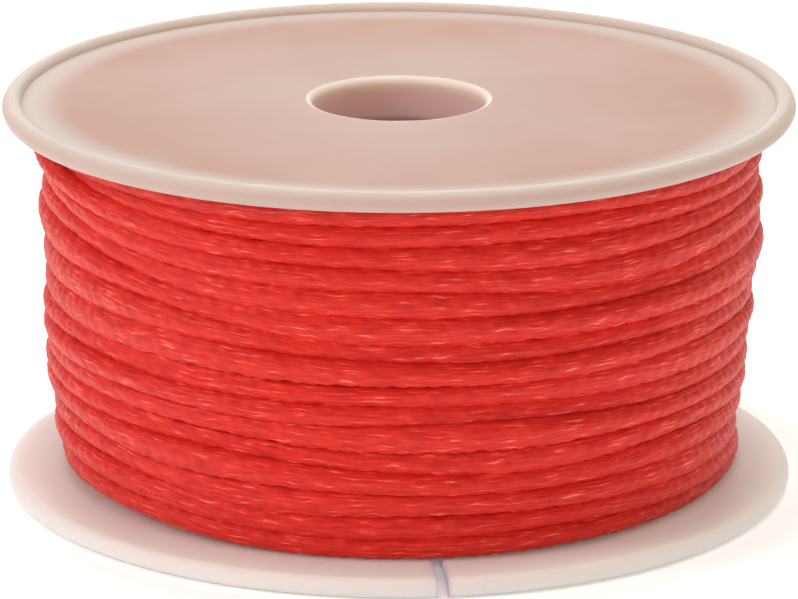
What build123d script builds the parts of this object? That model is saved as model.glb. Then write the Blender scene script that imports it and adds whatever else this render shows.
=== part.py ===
"""Refill reel of braided chalk line: a moulded spool with two wide flanges, fully wound.

Units are millimetres. +Z is up, along the bore. The origin is under the centre of the bore,
on the plane that the lower rim stands on.
"""
import os

from build123d import *

# Driving dimensions of the spool
FLANGE_RADIUS = 37.5  # outside of the rim bead
REEL_HEIGHT = 37.9  # from the foot of the lower rim to the top of the upper rim
RIM_HEIGHT = 1.9  # round bead along the edge of each flange
RIM_FOOT_WIDTH = 0.5  # narrow flat on the bead's outer side, which the reel stands on
WEB_THICKNESS = 1.2  # flat disc inside the bead, level with the bead's inner side
BORE_RADIUS = 8.2
BORE_MOUTH_ROUNDING = 0.65
HUB_RADIUS = 9.9  # outside of the hub, where the first layer of line lies

# Joint between the hub tube and each flange: a short collar in a counterbore
COLLAR_LENGTH = 3.0
COLLAR_WALL = 0.85

# Slot in the lower flange that nips the free end of the line
SLOT_WIDTH = 1.0
SLOT_LENGTH = 6.5
SLOT_ANGLE = -83.8  # about the bore, so it is at the front, a little right of the middle

# Radius of the full winding at shares of the height between the flanges
WINDING_PROFILE = (
    (0.00, 31.6),
    (0.04, 32.5),
    (0.20, 33.1),
    (0.42, 33.7),
    (0.65, 34.2),
    (0.85, 34.2),
    (1.00, 34.0),
)

# Worked-out sizes
BEAD_RADIUS = RIM_HEIGHT / 2 + RIM_FOOT_WIDTH**2 / (8 * RIM_HEIGHT)
BEAD_CENTRE = FLANGE_RADIUS - BEAD_RADIUS
WEB_RECESS = RIM_HEIGHT - WEB_THICKNESS  # the bead stands this far out of the outer face
LOWER_INNER_FACE = RIM_HEIGHT
UPPER_INNER_FACE = REEL_HEIGHT - RIM_HEIGHT
WINDING_WIDTH = UPPER_INNER_FACE - LOWER_INNER_FACE
COLLAR_RADIUS = BORE_RADIUS + COLLAR_WALL
COLLAR_END = LOWER_INNER_FACE + COLLAR_LENGTH


def flange_section():
    """Half section of the lower flange in the XZ plane: collar, web and rim bead."""
    with BuildSketch(Plane.XZ) as section:
        with Locations((BEAD_CENTRE, RIM_HEIGHT - BEAD_RADIUS)):
            Circle(BEAD_RADIUS)
        with Locations((BEAD_CENTRE, 0)):
            Rectangle(2 * BEAD_RADIUS, RIM_HEIGHT, align=(Align.CENTER, Align.MIN), mode=Mode.INTERSECT)
        with BuildLine():
            Polyline(
                (BORE_RADIUS, WEB_RECESS),
                (BEAD_CENTRE, WEB_RECESS),
                (BEAD_CENTRE, LOWER_INNER_FACE),
                (COLLAR_RADIUS, LOWER_INNER_FACE),
                (COLLAR_RADIUS, COLLAR_END),
                (BORE_RADIUS, COLLAR_END),
                close=True,
            )
        make_face()
    return section.sketch


def bore_mouth(flange):
    """The edge where the bore meets the outer face of a flange that faces down."""
    circles = flange.edges().filter_by(GeomType.CIRCLE)
    at_bore = circles.filter_by(lambda edge: abs(edge.radius - BORE_RADIUS) < 0.01)
    return at_bore.sort_by(Axis.Z)[0]


os.makedirs("parts", exist_ok=True)

# Hub tube, with a counterbore at each end for a flange's collar
with BuildPart() as hub_tube:
    with BuildSketch(Plane.XY.offset(LOWER_INNER_FACE)):
        Circle(HUB_RADIUS)
        Circle(BORE_RADIUS, mode=Mode.SUBTRACT)
    extrude(amount=WINDING_WIDTH)
    with BuildSketch(Plane.XY.offset(LOWER_INNER_FACE)):
        Circle(COLLAR_RADIUS)
    extrude(amount=COLLAR_LENGTH, mode=Mode.SUBTRACT)
    with BuildSketch(Plane.XY.offset(UPPER_INNER_FACE)):
        Circle(COLLAR_RADIUS)
    extrude(amount=-COLLAR_LENGTH, mode=Mode.SUBTRACT)
hub_tube.part.label = "hub_tube"
export_step(hub_tube.part, "parts/hub_tube.step")

# Lower flange: web, rim bead, collar and the slot for the line's free end
with BuildPart() as lower_flange:
    add(flange_section())
    revolve(axis=Axis.Z)
    fillet(bore_mouth(lower_flange), BORE_MOUTH_ROUNDING)
    with BuildSketch(Plane.XY.rotated((0, 0, SLOT_ANGLE))):
        with Locations((FLANGE_RADIUS - SLOT_LENGTH, 0)):
            Rectangle(SLOT_LENGTH + 1, SLOT_WIDTH, align=(Align.MIN, Align.CENTER))
            Circle(SLOT_WIDTH / 2)
    extrude(amount=RIM_HEIGHT, mode=Mode.SUBTRACT)
lower_flange.part.label = "lower_flange"
export_step(lower_flange.part, "parts/lower_flange.step")

# Upper flange: the same moulding turned over, without the slot
with BuildPart() as upper_flange:
    add(flange_section())
    revolve(axis=Axis.Z)
    fillet(bore_mouth(upper_flange), BORE_MOUTH_ROUNDING)
    mirror(about=Plane.XY.offset(REEL_HEIGHT / 2), mode=Mode.REPLACE)
upper_flange.part.label = "upper_flange"
export_step(upper_flange.part, "parts/upper_flange.step")

# Line winding: the outer shape of all the turns together, between the flanges and around the hub
with BuildPart() as line_winding:
    with BuildSketch(Plane.XZ):
        with BuildLine():
            outline = [
                (radius, LOWER_INNER_FACE + share * WINDING_WIDTH)
                for share, radius in WINDING_PROFILE
            ]
            Spline(outline)
            Polyline(
                outline[-1],
                (HUB_RADIUS, UPPER_INNER_FACE),
                (HUB_RADIUS, LOWER_INNER_FACE),
                outline[0],
            )
        make_face()
    revolve(axis=Axis.Z)
line_winding.part.label = "line_winding"
export_step(line_winding.part, "parts/line_winding.step")
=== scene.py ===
"""Chalk line reel: a whole braided line wound on its milky plastic spool, on a white floor.

Lengths in the named values are millimetres, and MM turns them into metres.
"""
import math

import bpy
import numpy as np
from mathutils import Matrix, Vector


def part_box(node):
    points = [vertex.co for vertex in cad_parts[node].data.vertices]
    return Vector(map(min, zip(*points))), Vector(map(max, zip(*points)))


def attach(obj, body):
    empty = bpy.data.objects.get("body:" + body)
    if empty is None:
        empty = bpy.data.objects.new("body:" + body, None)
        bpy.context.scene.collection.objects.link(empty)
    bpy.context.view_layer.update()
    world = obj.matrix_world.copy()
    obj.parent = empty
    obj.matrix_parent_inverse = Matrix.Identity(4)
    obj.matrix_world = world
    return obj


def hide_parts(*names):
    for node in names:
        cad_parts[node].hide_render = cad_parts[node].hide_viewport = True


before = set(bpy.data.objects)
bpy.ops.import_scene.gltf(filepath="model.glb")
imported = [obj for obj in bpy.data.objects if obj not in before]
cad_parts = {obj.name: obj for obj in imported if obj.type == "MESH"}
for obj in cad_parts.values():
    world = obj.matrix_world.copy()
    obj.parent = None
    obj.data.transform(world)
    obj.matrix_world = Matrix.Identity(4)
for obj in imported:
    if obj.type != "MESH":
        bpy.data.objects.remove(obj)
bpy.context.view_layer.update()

MM = 0.001
BODY = "root"

# The spool, read from the CAD frame
FLANGE_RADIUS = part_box("upper_flange")[1][0]
REEL_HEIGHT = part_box("upper_flange")[1][2]
HUB_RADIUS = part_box("hub_tube")[1][0]
LOWER_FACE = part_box("hub_tube")[0][2]
UPPER_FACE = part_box("hub_tube")[1][2]

# Where the lower flange's slot is about the bore, as the CAD model has it
SLOT_ANGLE = math.radians(-83.8)

# The line
LINE_DIAMETER = 2.1 * MM
LINE_RADIUS = LINE_DIAMETER / 2
LAYERS = 14
TURNS_PER_LAYER = 16
POINTS_PER_TURN = 40
START_ANGLE = math.radians(90)  # both ends of the line are at the back
CLOSEST_TURNS = 0.78 * LINE_DIAMETER  # soft neighbours can be pressed this near
WINDING_PROFILE = (  # share of the height between the flanges, outer radius of the winding
    (0.00, 31.6),
    (0.04, 32.5),
    (0.20, 33.1),
    (0.42, 33.7),
    (0.65, 34.2),
    (0.85, 34.2),
    (1.00, 34.0),
)

# How the line was laid. The outermost turns wander, the buried ones hardly do
REST = 0.5  # turns that lie at a flange at each end of a layer
OUTER_FROM, OUTER_BLEND = 0.85, 0.1  # share of the winding's depth where the wander begins
BURIED_UNEVENNESS = 0.03  # of height, in line diameters
OUTER_UNEVENNESS = 0.37  # of height, more than in the buried turns, in line diameters
OUTER_RADIUS_WANDER = 0.19  # in line diameters
DRIFTS = (
    # rise, middle and half width in degrees from the front, the same in shares of the height
    (3.8 * MM, (-78, 58), (0.74, 0.30)),
    (0.8 * MM, (60, 70), (0.82, 0.2)),
    (1.0 * MM, (-70, 60), (0.25, 0.25)),
)
SETTLE_ROUNDS = 40
SETTLE_PUSH = 0.25
SETTLE_SMOOTHING = 0.03

# How wide a turn is pressed, in line radii
BURIED_SPREAD = 1.1
SPREAD_LIMITS = (0.95, 1.75)
ROOM_TAKEN, ROOM_WANDER = 0.60, 0.06  # share of the gap to the next turn

# The braid: six yarns turning each way, one over, one under
YARNS_EACH_WAY = 6
BRAID_PITCH = 14.4 * MM  # length in which a yarn goes once round the line
YARN_HALF_WIDTH = 0.50 * MM
YARN_HALF_THICKNESS = 0.18 * MM
YARN_LIFT = 0.06 * MM  # how far a yarn rises and falls as it passes over and under
FILAMENT_SWAY = 0.035 * MM  # how far the filaments lean to either side at each crossing
CORE_SHARE = 0.55  # radius of the core that shows between yarns, of the yarns' mean radius
SPLINE_RESOLUTION = 6
FINE_STEP = 0.26 * MM  # along the line where the braid shows
BRAID_EXTRA_TURNS = 1.5  # braided turns below the outermost layer
SEEN_HALF_ANGLE = 112.5  # degrees to either side of straight out, meshed finely
SEEN_CORNERS = 19
UNSEEN_CORNERS = 7  # across the rest, with the two that it shares
BURIED_STEP = 4 * MM
BURIED_CORNERS = 10
BURIED_RADIUS = 0.97 * LINE_RADIUS
BURIED_ACROSS = 0.6  # filament coordinate to the radian

# Filament noise, stretched along the line
FILAMENT_STRETCH = (2.1, 210.0, 0.0)
FILAMENT_COLORS_SHADE_AND_GLINTS = (
    # value of the noise, colour: darker between the filaments as painted shade, the line's red on
    # them, and painted glints on their crests
    (0.36, (0.57, 0.010, 0.005, 1)),
    (0.62, (0.82, 0.030, 0.016, 1)),
    (0.72, (0.98, 0.24, 0.18, 1)),
)

# The plastic
NOISE_RANGE = (0.3, 0.7)  # where nearly all of a noise's values lie
# Over the line the plastic's colour is painted light: the line's red showing through, lighter on
# the lower flange
PAINTED_LIGHT_AT_HUB = 0.72  # the painted light over the line is this strong at the hub and full further out
PAINTED_LIGHT_FULL_RADIUS = 0.8 * FLANGE_RADIUS
PAINTED_LIGHT_PATCHES = (0.93, 1.0)
ROUGHNESS_PATCHES = (0.50, 0.62)
BORE_EDGE = (8.7 * MM, 8.9 * MM)  # where the bore mouth's rounding ends
BORE_MOUTH_DEPTH = (UPPER_FACE - 1.0 * MM, UPPER_FACE + 0.2 * MM)  # heights where its colour starts
BORE_MOUTH_COLOR = (0.70, 0.62, 0.55)
# deeper in the bore, painted red light of the line showing through the hub's wall
BORE_PAINTED_RED = (1.0, 0.62, 0.57)
SLOT_REACH = (0.7 * FLANGE_RADIUS, 0.75 * FLANGE_RADIUS)  # the slot's painted shade starts this far out
SLOT_SIDE = (0.55 * MM, 0.85 * MM)  # and fades this far from the slot's middle

# The camera, whose middle is a little under the reel's middle
CAMERA_DISTANCE = 14.229 * FLANGE_RADIUS
CAMERA_ELEVATION = math.radians(16.12)
CAMERA_DROP = math.radians(0.168)
SENSOR_WIDTH = 36  # Blender takes this and the lens in plain millimetres
LENS = 251.93
CLIP = (0.05, 20)  # metres

AREA_LIGHTS = (
    # name, place and width in metres, power in watts, colour
    ("key", (-0.66, -0.25, 0.45), 0.30, 2.12, (1.0, 0.80, 0.82)),
    ("front", (0.05, -0.80, 0.45), 0.16, 1.36, (1.0, 0.50, 0.38)),
    ("right_back", (0.50, 0.40, 0.40), 0.40, 0.70, (1.0, 0.95, 0.72)),
    ("rear", (-0.06, 0.50, 0.24), 0.45, 0.95, (0.98, 1.0, 0.98)),
    ("top", (0.0, -0.02, 0.70), 0.40, 3.45, (0.84, 1.0, 0.95)),
)
WORLD_COLOR = (1.0, 0.72, 0.72, 1)
WORLD_STRENGTH = 0.27

FLOOR_HALF_SIZE = 3.0  # metres
FLOOR_COLOR = (0.92, 0.92, 0.92, 1)
FLOOR_ROUGHNESS = 0.9
FLOOR_GLOW = 0.25
FLOOR_GLOW_IN_REEL_SHADOW = 0.17  # under the reel, as its painted shadow
FLOOR_GLOW_EDGE = (0.97 * FLANGE_RADIUS, 0.995 * FLANGE_RADIUS)


def smoothstep(x):
    x = np.clip(x, 0.0, 1.0)
    return x * x * (3 - 2 * x)


def wander(turns, seed, rates=(0.83, 2.37, 3.71, 5.83)):
    """A smooth wandering value of about 0.7 rms along the line, different on every turn."""
    total = np.zeros_like(turns)
    for i, rate in enumerate(rates):
        swing = np.sin(2 * math.pi * rate * turns + seed * 2.4 + i * 1.7)
        total += swing * np.sin(2 * math.pi * 0.29 * rate * turns + seed + i)
    return total * 0.7


def outer_profile(height):
    """Outer radius of the full winding at a height above the floor."""
    shares = [s for s, _ in WINDING_PROFILE]
    radii = [r * MM for _, r in WINDING_PROFILE]
    return np.interp((height - LOWER_FACE) / (UPPER_FACE - LOWER_FACE), shares, radii)


# ---------------------------------------------------------------- camera, lights and floor


def make_camera():
    """A view from the front, 16 degrees above the horizon, through a long lens."""
    data = bpy.data.cameras.new("camera")
    data.sensor_width = SENSOR_WIDTH
    data.lens = LENS
    data.clip_start, data.clip_end = CLIP
    camera = bpy.data.objects.new("camera", data)
    bpy.context.collection.objects.link(camera)
    middle = Vector((0, 0, REEL_HEIGHT / 2))
    back_and_up = Vector((0, -math.cos(CAMERA_ELEVATION), math.sin(CAMERA_ELEVATION)))
    camera.location = middle + CAMERA_DISTANCE * back_and_up
    camera.rotation_euler = (math.pi / 2 - CAMERA_ELEVATION - CAMERA_DROP, 0, 0)
    bpy.context.scene.camera = camera


def area_light(name, location, size, energy, color):
    """A round light that is aimed at the reel's middle."""
    data = bpy.data.lights.new(name, "AREA")
    data.shape = "DISK"
    data.size = size
    data.energy = energy
    data.color = color
    light = bpy.data.objects.new(name, data)
    bpy.context.collection.objects.link(light)
    light.location = location
    aim = Vector((0, 0, REEL_HEIGHT / 2)) - light.location
    light.rotation_mode = "QUATERNION"
    light.rotation_quaternion = aim.to_track_quat("-Z", "Y")


def make_lights():
    """Soft studio light: pink from the left, warm from the front, pale from above and behind."""
    for light in AREA_LIGHTS:
        area_light(*light)
    world = bpy.data.worlds.new("world")
    world.use_nodes = True
    background = world.node_tree.nodes["Background"]
    background.inputs["Color"].default_value = WORLD_COLOR
    background.inputs["Strength"].default_value = WORLD_STRENGTH
    bpy.context.scene.world = world
    bpy.context.scene.view_settings.view_transform = "Standard"


def make_floor():
    """A white table that glows a little, as under a light tent, and less below the reel as a
    painted shadow of it.
    """
    size = FLOOR_HALF_SIZE
    mesh = bpy.data.meshes.new("floor")
    corners = [(-size, -size, 0), (size, -size, 0), (size, size, 0), (-size, size, 0)]
    mesh.from_pydata(corners, [], [(0, 1, 2, 3)])
    floor = bpy.data.objects.new("floor", mesh)
    bpy.context.collection.objects.link(floor)
    material, nodes, links, shader = new_material("floor_white")
    shader.inputs["Base Color"].default_value = FLOOR_COLOR
    shader.inputs["Roughness"].default_value = FLOOR_ROUGHNESS
    shader.inputs["Emission Color"].default_value = (1, 1, 1, 1)
    place = nodes.new("ShaderNodeTexCoord").outputs["Object"]
    distance = vector_math(material, "LENGTH", place)
    glow = map_range(material, distance, FLOOR_GLOW_EDGE, (FLOOR_GLOW_IN_REEL_SHADOW, FLOOR_GLOW))
    links.new(glow, shader.inputs["Emission Strength"])
    mesh.materials.append(material)


# ---------------------------------------------------------------- the line's route


def hump(value, middle, half_width):
    """1 at middle, falling smoothly to 0 at half_width from it."""
    return 0.5 + 0.5 * np.cos(math.pi * np.clip(np.abs(value - middle) / half_width, 0, 1))


def lay_drift(angle, share):
    """How far the outermost turns were laid above an even helix, at a share of the height."""
    from_front = np.degrees(angle) + 90
    from_front = (from_front + 180) % 360 - 180
    drift = 0
    for rise, place, level in DRIFTS:
        drift = drift + rise * hump(from_front, *place) * hump(share, *level)
    return drift


def route_controls():
    """Control points of the whole line, turn by turn and layer by layer, from the hub outwards."""
    count = LAYERS * TURNS_PER_LAYER * POINTS_PER_TURN
    turns = np.arange(count) / POINTS_PER_TURN
    layer = np.minimum(np.floor(turns / TURNS_PER_LAYER), LAYERS - 1)
    within = turns - layer * TURNS_PER_LAYER

    # height: across the gap at an even pitch, with a rest at each flange
    low = LOWER_FACE + LINE_RADIUS
    high = UPPER_FACE - LINE_RADIUS
    share = np.clip((within - REST) / (TURNS_PER_LAYER - 2 * REST), 0, 1)
    share = np.where(layer % 2 == 0, share, 1 - share)
    height = low + (high - low) * share

    # layer: a turn climbs on to the next layer while it rests at a flange
    climb = np.zeros(count)
    for boundary in range(1, LAYERS):
        climb += smoothstep(turns - boundary * TURNS_PER_LAYER + REST)
    depth = climb / (LAYERS - 1)

    outer = smoothstep((depth - OUTER_FROM) / OUTER_BLEND)
    angle = START_ANGLE + 2 * math.pi * turns
    uneven = LINE_DIAMETER * wander(turns, 1.0)
    height = height + uneven * (BURIED_UNEVENNESS + OUTER_UNEVENNESS * outer)
    height = height + outer * lay_drift(angle, (height - low) / (high - low))
    height = np.clip(height, low, high)
    first = HUB_RADIUS + LINE_RADIUS
    last = outer_profile(height) - LINE_RADIUS
    radius = first + (last - first) * depth
    radius += LINE_DIAMETER * OUTER_RADIUS_WANDER * wander(turns, 5.0) * outer

    outermost = turns >= (LAYERS - 1) * TURNS_PER_LAYER
    height[outermost], radius[outermost] = settle(height[outermost], radius[outermost], low, high)
    spread = np.full((count, 2), BURIED_SPREAD)
    spread[outermost] = room_beside(height[outermost], turns[outermost])

    # an order 3 spline runs inside its control points by this much
    step = 2 * math.pi / POINTS_PER_TURN
    radius = radius / (1 - (1 - math.cos(step)) / 4)
    return np.stack([radius * np.cos(angle), radius * np.sin(angle), height], -1), spread


def room_beside(height, turns):
    """How wide a turn is pressed above and below its middle, in line radii, to fill its room."""
    lag = POINTS_PER_TURN
    room = np.full((len(height), 2), BURIED_SPREAD)
    gap = np.abs(height[lag:] - height[:-lag]) / LINE_RADIUS
    fill = ROOM_TAKEN + ROOM_WANDER * wander(turns, 9.0)
    room[lag:, 0] = gap * fill[lag:]
    room[:-lag, 1] = gap * fill[:-lag]
    return np.clip(room, *SPREAD_LIMITS)


def settle(height, radius, low, high):
    """Push neighbouring turns of one layer apart until they only touch, and smooth the result."""
    height, radius = height.copy(), radius.copy()
    lag = POINTS_PER_TURN
    for _ in range(SETTLE_ROUNDS):
        rise = height[lag:] - height[:-lag]
        out = radius[lag:] - radius[:-lag]
        gap = np.hypot(rise, out) + 1e-9
        push = np.clip(CLOSEST_TURNS - gap, 0, None) / gap * SETTLE_PUSH
        height[lag:] += push * rise
        height[:-lag] -= push * rise
        radius[lag:] += push * out
        radius[:-lag] -= push * out
        height = np.clip(height, low, high)
        for values in (height, radius):
            values[1:-1] += SETTLE_SMOOTHING * (values[:-2] + values[2:] - 2 * values[1:-1])
    return height, radius


def spline_points(controls):
    """Points along the order 3 NURBS spline through the route."""
    curve = bpy.data.curves.new("line_route", "CURVE")
    curve.dimensions = "3D"
    curve.resolution_u = SPLINE_RESOLUTION
    spline = curve.splines.new("NURBS")
    spline.points.add(len(controls) - 1)
    flat = np.ones((len(controls), 4))
    flat[:, :3] = controls
    spline.points.foreach_set("co", flat.ravel())
    spline.order_u = 3
    spline.use_endpoint_u = True
    spline.resolution_u = SPLINE_RESOLUTION
    holder = bpy.data.objects.new("line_route", curve)
    mesh = bpy.data.meshes.new_from_object(holder)
    points = np.empty(len(mesh.vertices) * 3)
    mesh.vertices.foreach_get("co", points)
    bpy.data.objects.remove(holder)
    bpy.data.curves.remove(curve)
    bpy.data.meshes.remove(mesh)
    return points.reshape(-1, 3)


def along(points):
    """Distance along a line at each of its points."""
    steps = np.linalg.norm(np.diff(points, axis=0), axis=1)
    return np.concatenate([[0], np.cumsum(steps)])


def resample(values, distance, stations, step):
    """Values known along a line, at places every step or so between two stations on it."""
    start, end = stations
    at = np.linspace(start, end, max(2, int((end - start) / step)) + 1)
    return np.stack([np.interp(at, distance, column) for column in values.T], -1), at


# ---------------------------------------------------------------- the braided line


def braid_surface(angle, distance):
    """Radius of the braid at an angle round the line and a distance along it.

    Also the filament coordinate, across the filaments in yarn half widths.
    """
    turn_rate = 2 * math.pi / BRAID_PITCH
    mean_radius = LINE_RADIUS - YARN_LIFT - YARN_HALF_THICKNESS
    lean = math.cos(math.atan(mean_radius * turn_rate))
    best = np.full(angle.shape, mean_radius * CORE_SHARE)
    for way in (1, -1):
        for yarn in range(YARNS_EACH_WAY):
            middle = way * turn_rate * distance + yarn * 2 * math.pi / YARNS_EACH_WAY
            offset = (angle - middle + math.pi) % (2 * math.pi) - math.pi
            side = mean_radius * offset * lean / YARN_HALF_WIDTH
            over = way * np.cos(YARNS_EACH_WAY * turn_rate * distance + way * yarn * math.pi)
            crown = np.sqrt(np.clip(1 - side * side, 0, 1))
            surface = mean_radius + YARN_LIFT * over + YARN_HALF_THICKNESS * crown
            surface = np.where(np.abs(side) < 1, surface, 0)
            best = np.maximum(best, surface)
    crossings = YARNS_EACH_WAY * turn_rate * distance
    sway = FILAMENT_SWAY * np.sin(crossings) * np.cos(YARNS_EACH_WAY * angle)
    return best, (mean_radius * angle + sway) / YARN_HALF_WIDTH


def tube(points, distance, spread, angles, surface_of):
    """Vertices, quads, end triangles and surface coordinates of a closed tube along points.

    spread says how much wider than round the section is, above and below its middle.
    surface_of gives the radius and the filament coordinate at each angle and distance.
    """
    tangent = np.gradient(points, axis=0)
    tangent /= np.linalg.norm(tangent, axis=1)[:, None]
    outward = points * (1, 1, 0)
    outward -= (outward * tangent).sum(1)[:, None] * tangent
    outward /= np.linalg.norm(outward, axis=1)[:, None]
    sideways = np.cross(tangent, outward)
    grid_angle, grid_distance = np.meshgrid(angles, distance)
    radius, across = surface_of(grid_angle, grid_distance)
    wide = np.where(np.sin(grid_angle) < 0, spread[:, :1], spread[:, 1:])
    rings = (
        points[:, None]
        + (radius * np.cos(grid_angle))[..., None] * outward[:, None]
        + (radius * np.sin(grid_angle) * wide)[..., None] * sideways[:, None]
    )
    count, around = radius.shape
    vertices = np.concatenate([rings.reshape(-1, 3), points[:1], points[-1:]])
    coordinates = np.stack([across, grid_distance, radius / LINE_RADIUS], -1).reshape(-1, 3)
    coordinates = np.concatenate([coordinates, coordinates[:1], coordinates[-1:]])
    here = np.arange(count - 1)[:, None] * around + np.arange(around)[None]
    beside = np.arange(count - 1)[:, None] * around + (np.arange(around)[None] + 1) % around
    quads = np.stack([here, here + around, beside + around, beside], -1).reshape(-1, 4)
    ring = np.arange(around)
    following = (ring + 1) % around
    start_cap = np.stack([np.full(around, count * around), ring, following], -1)
    last = (count - 1) * around
    end_cap = np.stack([np.full(around, count * around + 1), last + following, last + ring], -1)
    return vertices, quads, np.concatenate([start_cap, end_cap]), coordinates


def plain_surface(angle, _):
    """Radius and filament coordinate of the buried line, which is a plain round tube."""
    return np.full(angle.shape, BURIED_RADIUS), angle * BURIED_ACROSS


def mesh_from(name, parts):
    """One mesh from several (vertices, quads, triangles, coordinates)."""
    offset = 0
    vertices, loops, starts, coordinates = [], [], [], []
    loop_count = 0
    for part_vertices, quads, triangles, part_coordinates in parts:
        for faces in (quads, triangles):
            loops.append((faces + offset).ravel())
            starts.append(loop_count + np.arange(len(faces)) * faces.shape[1])
            loop_count += faces.size
        vertices.append(part_vertices)
        coordinates.append(part_coordinates)
        offset += len(part_vertices)
    vertices, loops, starts = (np.concatenate(x) for x in (vertices, loops, starts))
    mesh = bpy.data.meshes.new(name)
    mesh.vertices.add(len(vertices))
    mesh.vertices.foreach_set("co", vertices.ravel())
    mesh.loops.add(len(loops))
    mesh.loops.foreach_set("vertex_index", loops)
    mesh.polygons.add(len(starts))
    mesh.polygons.foreach_set("loop_start", starts)
    mesh.update(calc_edges=True)
    mesh.validate()
    mesh.polygons.foreach_set("use_smooth", np.ones(len(starts), bool))
    yarn = mesh.attributes.new("yarn", "FLOAT_VECTOR", "POINT")
    yarn.data.foreach_set("vector", np.concatenate(coordinates).ravel())
    return mesh


def make_line(material):
    """The whole line: plain tube in the buried layers, full braid where it shows."""
    controls, spread = route_controls()
    points = spline_points(controls)
    distance = along(points)
    length = distance[-1]
    share_of_line = np.linspace(0, 1, len(points))
    share_of_controls = np.linspace(0, 1, len(controls))
    spread = [np.interp(share_of_line, share_of_controls, side) for side in spread.T]
    route = np.concatenate([points, np.stack(spread, -1)], -1)
    braided_turns = TURNS_PER_LAYER + BRAID_EXTRA_TURNS
    share = 1 - braided_turns / (LAYERS * TURNS_PER_LAYER)
    split = distance[int(len(points) * share)]
    inner, inner_at = resample(route, distance, (0, split), BURIED_STEP)
    outer, outer_at = resample(route, distance, (split, length), FINE_STEP)
    seen = np.linspace(-SEEN_HALF_ANGLE, SEEN_HALF_ANGLE, SEEN_CORNERS)
    unseen = np.linspace(SEEN_HALF_ANGLE, 360 - SEEN_HALF_ANGLE, UNSEEN_CORNERS)[1:-1]
    braid_angles = np.radians(np.concatenate([seen, unseen]))
    plain_angles = np.linspace(0, 2 * math.pi, BURIED_CORNERS, endpoint=False)
    parts = [
        tube(inner[:, :3], inner_at, inner[:, 3:], plain_angles, plain_surface),
        tube(outer[:, :3], outer_at, outer[:, 3:], braid_angles, braid_surface),
    ]
    mesh = mesh_from("braided_line", parts)
    mesh.materials.append(material)
    line = bpy.data.objects.new("braided_line", mesh)
    bpy.context.collection.objects.link(line)
    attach(line, BODY)
    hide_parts("line_winding")


# ---------------------------------------------------------------- materials


def new_material(name):
    material = bpy.data.materials.new(name)
    material.use_nodes = True
    nodes = material.node_tree.nodes
    return material, nodes, material.node_tree.links, nodes["Principled BSDF"]


def line_material():
    """Red braid: filament noise, stretched along the line, gives the colour with painted shade in
    its hollows and painted glints on its crests, and the fine relief.
    """
    material, nodes, links, shader = new_material("braided_line")
    yarn = nodes.new("ShaderNodeAttribute")
    yarn.attribute_name = "yarn"
    stretched = vector_math(material, "MULTIPLY", yarn.outputs["Vector"], FILAMENT_STRETCH)
    filaments = noise(material, stretched, scale=1.6, detail=3.0)
    ramp = nodes.new("ShaderNodeValToRGB")
    stops = ramp.color_ramp.elements
    while len(stops) < len(FILAMENT_COLORS_SHADE_AND_GLINTS):
        stops.new(1.0)
    for stop, (position, color) in zip(stops, FILAMENT_COLORS_SHADE_AND_GLINTS):
        stop.position = position
        stop.color = color
    # the same noise raises the relief, so the painted shade sits in its hollows and the painted
    # glints on its crests
    links.new(filaments, ramp.inputs["Fac"])
    links.new(ramp.outputs["Color"], shader.inputs["Base Color"])
    add_bump(material, filaments, strength=0.45, distance=0.08 * MM)
    shader.inputs["Roughness"].default_value = 0.5
    shader.inputs["Specular IOR Level"].default_value = 0.32
    shader.inputs["Sheen Weight"].default_value = 0.12
    shader.inputs["Sheen Tint"].default_value = (1.0, 0.72, 0.68, 1)
    return material


def noise(material, vector, scale, detail):
    node = material.node_tree.nodes.new("ShaderNodeTexNoise")
    node.inputs["Scale"].default_value = scale
    node.inputs["Detail"].default_value = detail
    material.node_tree.links.new(vector, node.inputs["Vector"])
    return node.outputs["Fac"]


def add_bump(material, height, strength, distance):
    """Let height stand out of the material's surface."""
    nodes, links = material.node_tree.nodes, material.node_tree.links
    bump = nodes.new("ShaderNodeBump")
    bump.inputs["Strength"].default_value = strength
    bump.inputs["Distance"].default_value = distance
    links.new(height, bump.inputs["Height"])
    links.new(bump.outputs["Normal"], nodes["Principled BSDF"].inputs["Normal"])


def vector_math(material, operation, vector, constant=None):
    """The result of an operation on a vector, with a constant vector where it needs a second."""
    node = material.node_tree.nodes.new("ShaderNodeVectorMath")
    node.operation = operation
    material.node_tree.links.new(vector, node.inputs[0])
    if constant:
        node.inputs[1].default_value = constant
    gives_number = operation in ("LENGTH", "DOT_PRODUCT")
    return node.outputs["Value" if gives_number else "Vector"]


def number_math(material, operation, *values):
    node = material.node_tree.nodes.new("ShaderNodeMath")
    node.operation = operation
    for value, socket in zip(values, node.inputs):
        material.node_tree.links.new(value, socket)
    return node.outputs["Value"]


def map_range(material, value, source, target):
    """A smooth step from one pair of values to another."""
    node = material.node_tree.nodes.new("ShaderNodeMapRange")
    node.interpolation_type = "SMOOTHSTEP"
    for name, number in zip(("From Min", "From Max", "To Min", "To Max"), (*source, *target)):
        node.inputs[name].default_value = number
    material.node_tree.links.new(value, node.inputs["Value"])
    return node.outputs["Result"]


def blend(material, share, first, second):
    """Colour going from first to second as share goes from 0 to 1."""
    links = material.node_tree.links
    node = material.node_tree.nodes.new("ShaderNodeMix")
    node.data_type = "RGBA"
    factor, color_from, color_to = node.inputs[0], node.inputs[6], node.inputs[7]
    for socket, color in ((color_from, first), (color_to, second)):
        if isinstance(color, tuple):
            socket.default_value = (*color, 1)
        else:
            links.new(color, socket)
    links.new(share, factor)
    return node.outputs[2]


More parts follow.
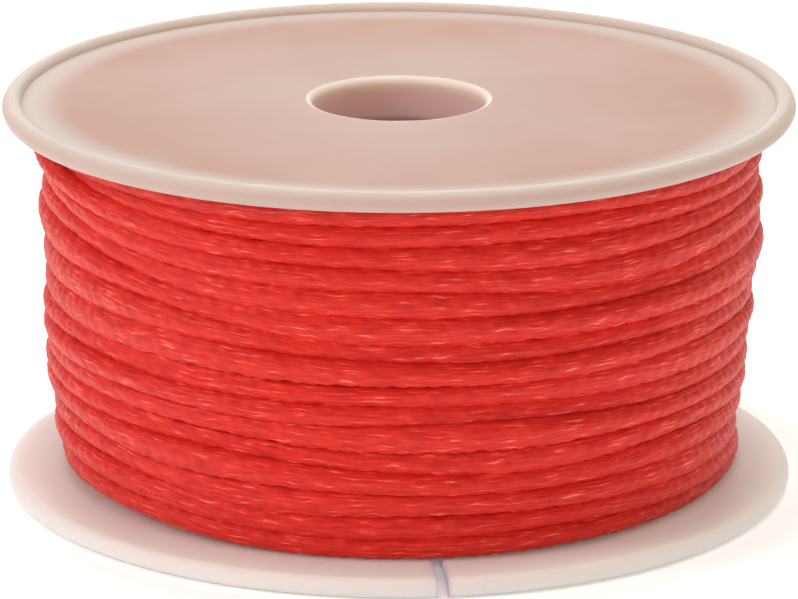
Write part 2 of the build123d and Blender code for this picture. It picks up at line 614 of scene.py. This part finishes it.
def slot_shade_mask(material, place):
    """1 on the walls of the lower flange's slot, where painted shade goes, 0 elsewhere."""
    outward = (math.cos(SLOT_ANGLE), math.sin(SLOT_ANGLE), 0)
    across = (-math.sin(SLOT_ANGLE), math.cos(SLOT_ANGLE), 0)
    reach = vector_math(material, "DOT_PRODUCT", place, outward)
    aside = number_math(material, "ABSOLUTE", vector_math(material, "DOT_PRODUCT", place, across))
    far_out = map_range(material, reach, SLOT_REACH, (0, 1))
    close = map_range(material, aside, SLOT_SIDE, (1, 0))
    return number_math(material, "MULTIPLY", far_out, close)


def plastic_material(name, off_line_color, painted_over_line, edge, slot_shade=None):
    """Milky plastic, with painted light where the line lies against it.

    Its colour goes from the painted light over the line to the colour away from it between the two
    radii in edge; the bore has separate colours, and the slot colour is painted shade in the slot.
    """
    material, nodes, links, shader = new_material(name)
    shader.inputs["IOR"].default_value = 1.49
    shader.inputs["Specular IOR Level"].default_value = 0.25
    shader.inputs["Subsurface Weight"].default_value = 1.0
    shader.inputs["Subsurface Radius"].default_value = (1.0, 0.8, 0.7)
    shader.inputs["Subsurface Scale"].default_value = 4 * MM
    place = nodes.new("ShaderNodeTexCoord").outputs["Object"]
    cloud = noise(material, place, scale=70.0, detail=4.0)
    from_axis = vector_math(material, "LENGTH", vector_math(material, "MULTIPLY", place, (1, 1, 0)))
    parts = nodes.new("ShaderNodeSeparateXYZ")
    links.new(place, parts.inputs["Vector"])
    height = parts.outputs["Z"]

    # share of the painted light over the line: weaker at the hub, fading past the winding's edge,
    # and patchy
    deeper = map_range(material, from_axis, (HUB_RADIUS, PAINTED_LIGHT_FULL_RADIUS), (PAINTED_LIGHT_AT_HUB, 1.0))
    over = map_range(material, from_axis, edge, (1, 0))
    patchy = map_range(material, cloud, NOISE_RANGE, PAINTED_LIGHT_PATCHES)
    even = number_math(material, "MULTIPLY", deeper, over)
    through = number_math(material, "MULTIPLY", even, patchy)
    color = blend(material, through, off_line_color, painted_over_line)

    # The bore: the mouth's plastic colour, then deeper down the painted red of the line showing
    # through the hub.
    below = map_range(material, height, BORE_MOUTH_DEPTH, (1, 0))
    inside = map_range(material, from_axis, BORE_EDGE, (1, 0))
    bore_color = blend(material, below, BORE_MOUTH_COLOR, BORE_PAINTED_RED)
    color = blend(material, inside, color, bore_color)
    # painted shade on the walls of the slot
    if slot_shade:
        color = blend(material, slot_shade_mask(material, place), color, slot_shade)
    links.new(color, shader.inputs["Base Color"])
    rough = map_range(material, cloud, NOISE_RANGE, ROUGHNESS_PATCHES)
    links.new(rough, shader.inputs["Roughness"])
    add_bump(material, cloud, strength=0.12, distance=0.2 * MM)
    return material


def give_material(node, material):
    """A material on a CAD node, in place of the one it comes with."""
    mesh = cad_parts[node].data
    mesh.materials.clear()
    mesh.materials.append(material)


make_camera()
make_line(line_material())
# The upper flange and the hub are painted, over the line, with the line's red light showing through
# them.
upper_plastic = plastic_material(
    "upper_plastic",
    off_line_color=(0.48, 0.425, 0.39),
    painted_over_line=(0.435, 0.255, 0.205),
    edge=(31.0 * MM, 35.0 * MM),
)
# The lower flange is lightened with painted light, as if the white floor glowed through it, most
# over the line.
lower_plastic = plastic_material(
    "lower_plastic",
    off_line_color=(0.77, 0.84, 0.79),
    painted_over_line=(0.95, 0.95, 0.90),
    edge=(30.5 * MM, 34.5 * MM),
    # painted shade on the slot's walls
    slot_shade=(0.66, 0.65, 0.76),
)
give_material("lower_flange", lower_plastic)
give_material("upper_flange", upper_plastic)
give_material("hub_tube", upper_plastic)
make_floor()
make_lights()
